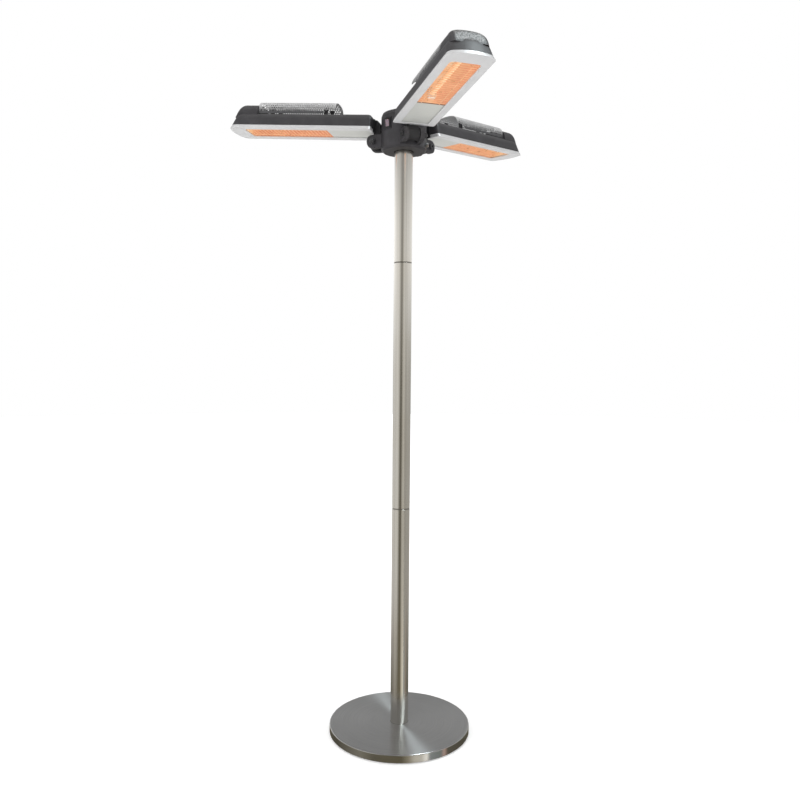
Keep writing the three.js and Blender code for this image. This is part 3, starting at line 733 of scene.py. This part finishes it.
def base_pad_mesh():
    """A rubber disc with shallow grooves round its underside."""
    low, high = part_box("base_pad")
    radius, face, top = high.x, low.z, high.z
    edge = 0.8 * MM
    axis = 0.01 * MM  # as near the axis as the skin comes
    grooves, first, spacing = 9, 0.95, 0.085
    pad = [(axis, top), (radius - edge, top), (radius, top - edge)]
    pad += [(radius, face + edge), (radius - edge, face)]
    for i in range(grooves):
        at = radius * (first - spacing * i)
        groove = ((0, 0), (0.8 * MM, 1 * MM), (3 * MM, 1 * MM), (3.8 * MM, 0))
        pad += [(at - inward, face + depth) for inward, depth in groove]
    pad += [(axis, face)]
    return shaded(lathe("base_pad", pad, 160, wrap=False))


def add_base():
    piece("base_cover_spun", base_cover_mesh(), "base_cover")
    piece("base_pad_ribbed", base_pad_mesh(), "base_pad")
    piece("base_weight_cast", shaded(from_cad("base_weight", 0.8 * MM)), "base_weight")


def add_pole():
    wall, roll = 1.5 * MM, 0.35 * MM
    steps = 12
    for name in ("pole_lower", "pole_middle", "pole_upper"):
        low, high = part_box(name)
        outer, inner = high.x, high.x - wall
        bottom, top = low.z, high.z
        profile = [(inner, bottom), (outer - roll, bottom), (outer, bottom + roll)]
        profile += [(outer, bottom + (top - bottom) * i / steps) for i in range(1, steps)]
        profile += [(outer, top - roll), (outer - roll, top), (inner, top)]
        piece(name + "_tube", shaded(lathe(name, profile, 96)), name)
    for name in ("coupling_lower", "coupling_upper"):
        piece(name + "_turned", shaded(from_cad(name, 0.2 * MM, 1)), name)


# ---------- heater arm ----------
# Everything here is in an arm's own axes, so that one mesh serves all three arms.

def arm_box(part):
    return box_in(ARM["left"], f"left_{part}")


HOUSING_LOW, HOUSING_HIGH = arm_box("housing")
FRAME_LOW, FRAME_HIGH = arm_box("frame")
SHIELD_LOW, SHIELD_HIGH = arm_box("heat_shield")
REFLECTOR_LOW, REFLECTOR_HIGH = arm_box("reflector")
GUARD_LOW, GUARD_HIGH = arm_box("guard")
COVER_LOW, COVER_HIGH = arm_box("terminal_cover")
TUBE_LOW, TUBE_HIGH = arm_box("quartz_tube")
ELEMENT_LOW, ELEMENT_HIGH = arm_box("heating_element")
HOUSING_TOP = SHIELD_LOW.z - GAP
DOME_IN = SHIELD_HIGH.x + 0.5 * MM
WALL = 1.4 * MM
SHEET = 1 * MM
ARCH_FOOT = 0.3  # the share of a vault's height where its sides start to curve in


def body_rings(inset, low):
    """The housing's box: sloping walls that round over to a flat top."""
    start, reach, half = HOUSING_LOW.x + inset, HOUSING_HIGH.x - inset, HOUSING_HIGH.y - inset
    top = HOUSING_TOP - inset
    slope, lean = 16 * MM, 5 * MM
    flat_start, flat_short, flat_narrow = 14 * MM, 7 * MM, 24 * MM
    foot = plan(start, reach, half, low)
    shoulder = plan(start, reach - slope, half - lean, top)
    flat_reach = reach - slope - flat_short
    flat = plan(start + flat_start, flat_reach, half - flat_narrow, top, 6 * MM, 5 * MM, 12 * MM)
    return rounded_over(foot, shoulder, flat)


def dome_rings(inset):
    """The raised end of the housing: a vault whose outer end slopes and is rounded over."""
    low, top = HOUSING_TOP - 12 * MM, HOUSING_HIGH.z
    half = HOUSING_HIGH.y - 8 * MM
    foot_x, lean = HOUSING_HIGH.x - 14 * MM, 0.48
    rounding, steps = 13 * MM, 6

    def ring(shrink, at):
        section = arch_points(half - shrink, low + (top - low) * ARCH_FOOT, low, top - shrink)
        return [Vector((at(z), y, z)) for y, z in section]

    rings = [ring(inset, lambda z: DOME_IN + inset)]
    for i in range(steps + 1):
        turn = math.pi / 2 * i / steps
        back = rounding * (1 - math.sin(turn)) + inset
        shrink = inset + rounding * (1 - math.cos(turn))
        rings.append(ring(shrink, lambda z: foot_x - back - lean * (z - low)))
    return rings


def shield_posts():
    """Four posts that carry the heat shield over the housing."""
    aside, sunk, short = 27 * MM, 1 * MM, 10 * MM
    reach = Vector((5 * MM, 3 * MM, 0))
    posts = []
    for x in (SHIELD_LOW.x + 30 * MM, DOME_IN - 40 * MM):
        for y in (-aside, aside):
            foot = Vector((x, y, HOUSING_TOP - sunk))
            head = Vector((x, y, SHIELD_HIGH.z - short))
            posts.append(block(foot - reach, head + reach))
    return gather("posts", posts)


def vent_holes():
    """Staggered rows of round vents through the raised end's crown."""
    radius, pitch, rows, widest = 1.6 * MM, 6 * MM, 6, 8
    low, high = HOUSING_HIGH.z - 12 * MM, HOUSING_HIGH.z + 2 * MM
    rods = []
    for row in range(rows):
        count = widest - row % 2
        for i in range(count):
            y = (i - (count - 1) / 2) * pitch
            x = DOME_IN + 8 * MM + row * pitch * 0.87
            rods.append(rod_along([Vector((x, y, low)), Vector((x, y, high))], radius, 14))
    return gather("vents", rods)


def housing_mesh():
    outside = loft("housing", body_rings(0, HOUSING_LOW.z))
    outside = joined(outside, "UNION", loft("dome", dome_rings(0)))
    outside = joined(outside, "UNION", shield_posts())
    inside = loft("hollow", body_rings(WALL, HOUSING_LOW.z - 2 * MM))
    inside = joined(inside, "UNION", loft("dome_hollow", dome_rings(WALL)))
    shell = joined(outside, "DIFFERENCE", inside)
    shell = joined(shell, "DIFFERENCE", vent_holes())
    return shaded(eased(shell, 0.35 * MM, 2, 50))


def arch_points(half, foot_z, low_z, top_z, steps=24):
    """Across a vault: straight up its feet and flat at its crown."""
    controls = ((half, foot_z), (half - 1 * MM, top_z - 4 * MM), (half * 0.62, top_z), (0, top_z))

    def curve(t):
        shares = ((1 - t) ** 3, 3 * t * (1 - t) ** 2, 3 * t * t * (1 - t), t ** 3)
        return tuple(sum(share * point[k] for share, point in zip(shares, controls)) for k in (0, 1))

    right = [(half, low_z)] + [curve(i / steps) for i in range(steps + 1)]
    left = [(-y, z) for y, z in reversed(right[:-1])]
    return right + left


def along_arch(points):
    """Returns a function from a distance along the vault to its (y, z), and its whole length."""
    lengths = [0.0]
    for (y0, z0), (y1, z1) in zip(points, points[1:]):
        lengths.append(lengths[-1] + math.hypot(y1 - y0, z1 - z0))

    def at(distance):
        distance = min(max(distance, 0.0), lengths[-1])
        k = next(i for i in range(1, len(lengths)) if lengths[i] >= distance - 1e-12)
        span = lengths[k] - lengths[k - 1]
        share = (distance - lengths[k - 1]) / span if span else 0.0
        (y0, z0), (y1, z1) = points[k - 1], points[k]
        return y0 + (y1 - y0) * share, z0 + (z1 - z0) * share

    return at, lengths[-1]


def perforated_arch():
    """The shield as a skin with staggered round holes: u runs out along the arm and v over the arch."""
    low, top = SHIELD_LOW.z, SHIELD_HIGH.z
    at, length = along_arch(arch_points(SHIELD_HIGH.y, low + (top - low) * ARCH_FOOT, low, top))
    start, width = SHIELD_LOW.x, SHIELD_HIGH.x - SHIELD_LOW.x
    border = 6 * MM
    inner = width - border
    columns = 32
    pitch = (width - 2 * border) / columns
    rows = round((length - 2 * border) / pitch)
    row_height = (length - 2 * border) / rows
    hole = 0.31 * min(pitch, row_height)
    bm = bmesh.new()
    known = {}

    def corner(u, v):
        key = (round(u * 1e7), round(v * 1e7))
        if key not in known:
            known[key] = bm.verts.new((start + u, *at(v)))
        return known[key]

    def panel(*spots):
        bm.faces.new([corner(u, v) for u, v in spots])

    def oblong(u0, u1, v0, v1):
        panel((u0, v0), (u1, v0), (u1, v1), (u0, v1))

    def pierced(u, v):
        """One cell with a hole: eight points round its edge and sixteen round the hole."""
        reach_u, reach_v = pitch / 2, row_height / 2
        spots = [(1, 0), (1, 1), (0, 1), (-1, 1), (-1, 0), (-1, -1), (0, -1), (1, -1)]
        rim = [corner(u + a * reach_u, v + b * reach_v) for a, b in spots]
        round_hole = []
        for k in range(16):
            turn = 2 * math.pi * k / 16
            out, over = hole * math.cos(turn), hole * math.sin(turn)
            round_hole.append(bm.verts.new((start + u + out, *at(v + over))))
        for k in range(8):
            near_hole = [round_hole[(2 * k + 2) % 16], round_hole[2 * k + 1], round_hole[2 * k]]
            bm.faces.new([rim[k], rim[(k + 1) % 8], *near_hole])

    for row in range(rows):
        v = border + (row + 0.5) * row_height
        v0, v1 = v - row_height / 2, v + row_height / 2
        shifted = row % 2
        for column in range(columns - shifted):
            pierced(border + (column + 0.5 + 0.5 * shifted) * pitch, v)
        if shifted:
            oblong(border, border + pitch / 2, v0, v1)
            oblong(inner - pitch / 2, inner, v0, v1)
            oblong(0.0, border, v0, v1)
            oblong(inner, width, v0, v1)
        else:
            panel((0.0, v0), (border, v0), (border, v), (border, v1), (0.0, v1))
            panel((inner, v0), (width, v0), (width, v1), (inner, v1), (inner, v))
    stops = [0.0] + [border + i * pitch / 2 for i in range(2 * columns + 1)] + [width]
    for seam, edge in ((border, 0.0), (length - border, length)):
        for u0, u1 in zip(stops, stops[1:]):
            oblong(u0, u1, seam, edge)
    mesh = bpy.data.meshes.new("heat_shield")
    bm.to_mesh(mesh)
    bm.free()
    return facing_out(mesh)


def heat_shield_mesh():
    """The hood: one arched and perforated sheet, cut away below at its inner end."""
    holder = in_scene("shield_sheet", perforated_arch())
    thick = holder.modifiers.new("thickness", "SOLIDIFY")
    thick.thickness = SHEET
    thick.offset = -1
    solid = applied(holder)
    bpy.data.objects.remove(holder)
    start, low, past = SHIELD_LOW.x, SHIELD_LOW.z, 1 * MM
    skirt = [
        (start - past, low - past),
        (start + 42 * MM, low - past),
        (start + 30 * MM, low + 8 * MM),
        (start - past, low + 14 * MM),
    ]
    wide = SHIELD_HIGH.y + 10 * MM
    tool = loft("skirt", [[Vector((x, y, z)) for x, z in skirt] for y in (-wide, wide)])
    return shaded(joined(solid, "DIFFERENCE", tool), 50)


def frame_mesh():
    """The silver surround: flared outside, with a deep inner well and a ledge round the opening."""
    start, tip, half = FRAME_LOW.x, HOUSING_HIGH.x, HOUSING_HIGH.y
    flare = FRAME_HIGH.x - tip
    low, high = FRAME_LOW.z, FRAME_HIGH.z
    ledge = COVER_LOW.z - GAP
    lap = 4 * MM
    mouth_end, mouth_half = GUARD_HIGH.x - lap, GUARD_HIGH.y - lap
    ease, room_corner, mouth_corner = 8 * MM, 14 * MM, 12 * MM
    room = (start + 6 * MM, mouth_end + 12 * MM, half - 4 * MM)
    mouth = (start + 9 * MM, mouth_end, mouth_half)
    rings = [
        plan(start, tip + flare, half + flare, low),
        plan(start, tip, half, high),
        plan(*room, high, ease, 0, room_corner),
        plan(*room, ledge, ease, 0, room_corner),
        plan(*mouth, ledge, ease, 0, mouth_corner),
        plan(*mouth, low, ease, 0, mouth_corner),
    ]
    return shaded(eased(loft("frame", rings, wrap=True), 0.9 * MM, 3, 30))


def cover_mesh():
    """The plate that closes the frame between hinge and window."""
    start, end, half = COVER_LOW.x, COVER_HIGH.x, COVER_HIGH.y
    ease, corner = 7 * MM, 1 * MM
    outlines = [plan(start, end, half, z, ease, 0, corner) for z in (COVER_LOW.z, COVER_HIGH.z)]
    return shaded(eased(loft("terminal_cover", outlines), 0.3 * MM))


def reflector_mesh():
    """A polished trough with a flange and closed ends, its cross-section like a shallow bowl's."""
    start, end = REFLECTOR_LOW.x, REFLECTOR_HIGH.x
    low, top = REFLECTOR_LOW.z, REFLECTOR_HIGH.z
    flange = REFLECTOR_HIGH.y
    mouth = flange - 2 * MM
    steps = 24

    def section(inset):
        points = []
        for i in range(steps + 1):
            turn = math.pi * i / steps
            shape = abs(math.cos(turn)) ** 0.62
            y = math.copysign(shape, math.cos(turn)) * (mouth - inset - 1 * MM)
            z = low + (top - low - inset) * abs(math.sin(turn)) ** 0.72
            points.append((y, z))
        return points

    outer = [(flange, low), (flange, low + SHEET), *[(y, max(z, low + SHEET)) for y, z in section(0)]]
    outer += [(-flange, low + SHEET), (-flange, low)]
    inner = [(y, z if 0 < i < steps else low) for i, (y, z) in enumerate(section(SHEET))]
    loop = outer + inner[::-1]
    body = loft("reflector", [[Vector((x, y, z)) for y, z in loop] for x in (start, end)])
    ring = section(SHEET / 2)
    count = len(ring)
    caps = []
    for x0 in (start, end - SHEET):
        points = [Vector((x, y, z)) for x in (x0, x0 + SHEET) for y, z in ring]
        faces = [(i, (i + 1) % count, count + (i + 1) % count, count + i) for i in range(count)]
        faces += [tuple(reversed(range(count))), tuple(range(count, 2 * count))]
        caps.append((points, faces))
    return shaded(joined(body, "UNION", gather("reflector_ends", caps)), 45)


def guard_mesh():
    """Cross wires welded over two long wires."""
    cross_wires = 22
    radius, sides = 0.85 * MM, 10
    top, bottom = GUARD_HIGH.z - radius, GUARD_LOW.z + radius
    first, last = GUARD_LOW.x + 7 * MM, GUARD_HIGH.x - 10 * MM
    reach = GUARD_HIGH.y - radius
    long_wire = 24 * MM
    parts = []
    for i in range(cross_wires):
        x = first + (last - first) * i / (cross_wires - 1)
        path = [Vector((x, y, top)) for y in (-reach, -reach / 2, 0, reach / 2, reach)]
        parts.append(rod_along(path, radius, sides))
    for y in (-long_wire, long_wire):
        path = [Vector((x, y, bottom)) for x in (GUARD_LOW.x, GUARD_HIGH.x)]
        parts.append(rod_along(path, radius, sides))
    return shaded(gather("guard", parts), 60)


def quartz_mesh():
    wall, ease = 1.2 * MM, 0.3 * MM
    radius = TUBE_HIGH.y
    middle = (TUBE_LOW.z + TUBE_HIGH.z) / 2
    start, length = TUBE_LOW.x, TUBE_HIGH.x - TUBE_LOW.x
    profile = [(radius - wall, 0), (radius - ease, 0), (radius, ease), (radius, length - ease)]
    profile += [(radius - ease, length), (radius - wall, length)]
    mesh = lathe("quartz_tube", profile, 40)
    mesh.transform(Matrix.Translation((start, 0, middle)) @ Matrix.Rotation(math.pi / 2, 4, "Y"))
    return shaded(mesh)


def element_mesh():
    """A coiled filament with straight tails."""
    middle = (ELEMENT_LOW.z + ELEMENT_HIGH.z) / 2
    wire, tail = 0.5 * MM, 6 * MM
    radius = ELEMENT_HIGH.y - wire
    start, end = ELEMENT_LOW.x + tail, ELEMENT_HIGH.x - tail
    turns, steps = 90, 12
    path = [Vector((ELEMENT_LOW.x, 0, middle))]
    for i in range(turns * steps + 1):
        turn = 2 * math.pi * i / steps
        x = start + (end - start) * i / (turns * steps)
        path.append(Vector((x, radius * math.sin(turn), middle + radius * math.cos(turn))))
    path.append(Vector((ELEMENT_HIGH.x, 0, middle)))
    return shaded(gather("heating_element", [rod_along(path, wire, 6)]), 70)


ARM_PARTS = {
    "housing": ("shell", housing_mesh),
    "heat_shield": ("perforated", heat_shield_mesh),
    "frame": ("pressed", frame_mesh),
    "terminal_cover": ("plate", cover_mesh),
    "reflector": ("trough", reflector_mesh),
    "guard": ("wires", guard_mesh),
    "quartz_tube": ("glass", quartz_mesh),
    "heating_element": ("coil", element_mesh),
}
ARM_HARDWARE = ("hinge_bracket", "inner_lamp_holder", "outer_lamp_holder")


def add_arms():
    meshes = {part: (ending, build()) for part, (ending, build) in ARM_PARTS.items()}
    for part in ARM_HARDWARE:
        meshes[part] = ("detailed", shaded(from_cad(f"left_{part}", 0.5 * MM, axes=ARM["left"])))
    for side in SIDES:
        for part, (ending, mesh) in meshes.items():
            piece(f"{side}_{part}_{ending}", mesh, f"{side}_{part}", ARM[side])


# ---------- hub and fittings ----------

def add_hub():
    for node, width in (("hub_body", 0.7 * MM), ("hub_cover", 0.6 * MM)):
        piece(f"{node}_moulded", shaded(from_cad(node, width)), node)


def add_small_pieces():
    """Fasteners and fittings: the CAD shapes with eased edges."""
    done = {name for shown in bpy.data.objects for name in shown.get("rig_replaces", [])}
    for node in sorted(nodes):
        if node not in done:
            piece(f"{node}_detailed", shaded(from_cad(node, 0.25 * MM)), node)


# ---------- studio ----------

CAMERA_TURN = math.radians(17.3)  # how far left of the front arm's direction the camera stands
CAMERA_BACK = 2.2021
CAMERA_ASIDE = -0.005
CAMERA_HEIGHT = 1.0531
CAMERA_PITCH = math.radians(-2.69)
CAMERA_ROLL = math.radians(0.46)
CAMERA_LENS = 35.06


def add_camera():
    ahead = Vector((math.sin(CAMERA_TURN), math.cos(CAMERA_TURN), 0))
    right = ahead.cross(UP)
    place = right * CAMERA_ASIDE - ahead * CAMERA_BACK + UP * CAMERA_HEIGHT
    forward = ahead * math.cos(CAMERA_PITCH) + UP * math.sin(CAMERA_PITCH)
    level_up = right.cross(forward)
    across = right * math.cos(CAMERA_ROLL) + level_up * math.sin(CAMERA_ROLL)
    upward = across.cross(forward)
    data = bpy.data.cameras.new("camera")
    data.lens = CAMERA_LENS
    camera = in_scene("camera", data)
    axes = Matrix((across, upward, -forward)).transposed().to_4x4()
    camera.matrix_world = Matrix.Translation(place) @ axes
    bpy.context.scene.camera = camera


def add_light(name, bearing, elevation, size, power, colour=(1, 1, 1), mirrored=False):
    """A soft square light aimed at the heater, at a bearing in degrees from the camera's side to its right.

    A mirrored light shows in glossy surfaces and lights nothing else; the others don't show in them.
    """
    target, distance = Vector((0, 0, 0.9)), 3.4
    turn = math.radians(bearing - 90) - CAMERA_TURN
    lift = math.radians(elevation)
    away = Vector((math.cos(turn) * math.cos(lift), math.sin(turn) * math.cos(lift), math.sin(lift)))
    data = bpy.data.lights.new(name, "AREA")
    data.size = size
    data.energy = power
    data.color = colour
    light = in_scene(name, data)
    light.location = target + away * distance
    light.rotation_mode = "QUATERNION"
    light.rotation_quaternion = away.to_track_quat("Z", "Y")
    light.visible_glossy = mirrored
    light.visible_diffuse = not mirrored


def grey(level, warmth=0.0):
    return (level * (1 + 0.06 * warmth), level, level * (1 - 0.14 * warmth))


# The room round the heater as the steel mirrors it: bands of colour by bearing, in degrees from the camera's
# side towards its right, under a dim ceiling. Each band blends into the next between two heights.
ROOM_BELOW = [
    (-180, grey(0.12, 1.8)), (-120, grey(0.1, 1.8)), (-66, grey(0.25, 1.4)), (-40, grey(0.14, 2.0)),
    (-14, grey(0.15, 2.4)), (4, grey(0.14, 2.6)), (15, grey(0.32, 2.0)), (25, grey(0.66, 1.2)),
    (36, grey(0.7, 1.0)), (45, grey(1.22, 0.7)), (51, (0.32, 0.34, 0.33)), (72, (0.26, 0.28, 0.26)),
    (78, (0.66, 0.46, 0.38)), (85, grey(0.13, 1.8)), (130, grey(0.1, 1.8)), (180, grey(0.13, 1.8)),
]
ROOM_NEAR = [
    (-180, grey(0.5, 0.3)), (-120, grey(0.74, 0.2)), (-85, grey(0.64, 0.3)), (-54, grey(0.76, 0.3)),
    (-38, grey(0.6, 0.5)), (-18, grey(0.14, 1.4)), (-2, grey(0.12, 1.4)), (12, grey(0.46, 0.9)),
    (24, grey(0.6, 0.6)), (44, grey(0.36, 0.8)), (80, grey(0.44, 0.5)), (110, grey(0.42, 0.5)),
    (180, grey(0.5, 0.3)),
]
ROOM_ABOVE = [
    (-180, grey(1.1)), (-137, grey(1.4)), (-100, grey(1.24)), (-60, grey(1.02, 0.2)), (-40, grey(0.82, 0.2)),
    (-16, grey(0.38, 0.6)), (-3, grey(0.38, 0.6)), (12, grey(0.82, 0.3)), (24, grey(0.9, 0.2)),
    (60, grey(0.98, 0.1)), (110, grey(1.1)), (180, grey(1.1)),
]
CEILING = grey(0.3)
BELOW_TO_NEAR = (-0.38, -0.3)
NEAR_TO_ABOVE = (0.0, 0.13)
ABOVE_TO_CEILING = (0.19, 0.3)


def add_room():
    """White to the camera; to everything else a soft room."""
    world = bpy.data.worlds.new("studio")
    bpy.context.scene.world = world
    world.use_nodes = True
    tree = world.node_tree
    tree.nodes.clear()
    direction = add_node(tree, "ShaderNodeTexCoord").outputs["Generated"]
    rotation = (0, 0, CAMERA_TURN + math.pi / 2)
    turned_to = add_node(tree, "ShaderNodeMapping", {"Vector": direction, "Rotation": rotation})
    parts = add_node(tree, "ShaderNodeSeparateXYZ", {0: turned_to.outputs[0]})
    bearing = maths(tree, "ARCTAN2", parts.outputs["Y"], parts.outputs["X"])
    share = share_between(tree, bearing, -math.pi, math.pi)
    room, near, above = [
        ramp(tree, share, [((degrees + 180) / 360, colour) for degrees, colour in stops])
        for stops in (ROOM_BELOW, ROOM_NEAR, ROOM_ABOVE)
    ]
    height = parts.outputs["Z"]
    for heights, upper in ((BELOW_TO_NEAR, near), (NEAR_TO_ABOVE, above), (ABOVE_TO_CEILING, CEILING)):
        room = blend_colours(tree, share_between(tree, height, *heights), room, upper)
    seen = add_node(tree, "ShaderNodeLightPath").outputs["Is Camera Ray"]
    plain = add_node(tree, "ShaderNodeBackground", {"Color": (1, 1, 1, 1), "Strength": 1.0})
    soft = add_node(tree, "ShaderNodeBackground", {"Color": room, "Strength": 1.0})
    mixed = add_node(tree, "ShaderNodeMixShader", {0: seen, 1: soft.outputs[0], 2: plain.outputs[0]})
    out = add_node(tree, "ShaderNodeOutputWorld")
    tree.links.new(mixed.outputs[0], out.inputs["Surface"])


def add_floor():
    """A pale floor that glows into the white behind it. Glossy surfaces mirror the room instead."""
    disc = circle(14.0, 0, 96)
    floor = in_scene("floor", mesh_of("floor", disc, [tuple(range(len(disc)))]))
    material, tree, shader = surface("pale_floor", Roughness=0.9, Emission_Color=(1, 1, 1, 1))
    place = add_node(tree, "ShaderNodeTexCoord").outputs["Object"]
    outwards = share_between(tree, vector_maths(tree, "LENGTH", place), 0.6, 3.5)
    cloud = noise(tree, place, 3.0, 3.0)
    feed(
        shader,
        Emission_Strength=scalar_range(tree, outwards, 0.3, 1.0),
        Base_Color=shades(tree, cloud, (0.92, 0.92, 0.92), (0.94, 0.94, 0.94)),
    )
    floor.data.materials.append(material)
    floor.visible_glossy = False
    floor.location.z = -0.5 * MM


def add_studio():
    add_camera()
    add_room()
    add_floor()
    add_light("ceiling", 0, 88, 3.0, 55)
    for bearing, power in ((-45, 41), (45, 25), (135, 26), (-135, 26)):
        add_light(f"side_{bearing % 360}", bearing, 20, 2.4, power)
    add_light("key", 58, 60, 1.2, 66, (0.86, 0.97, 1.0), mirrored=True)
    bpy.context.scene.view_settings.view_transform = "Standard"


add_base()
add_pole()
add_arms()
add_hub()
add_small_pieces()
add_studio()
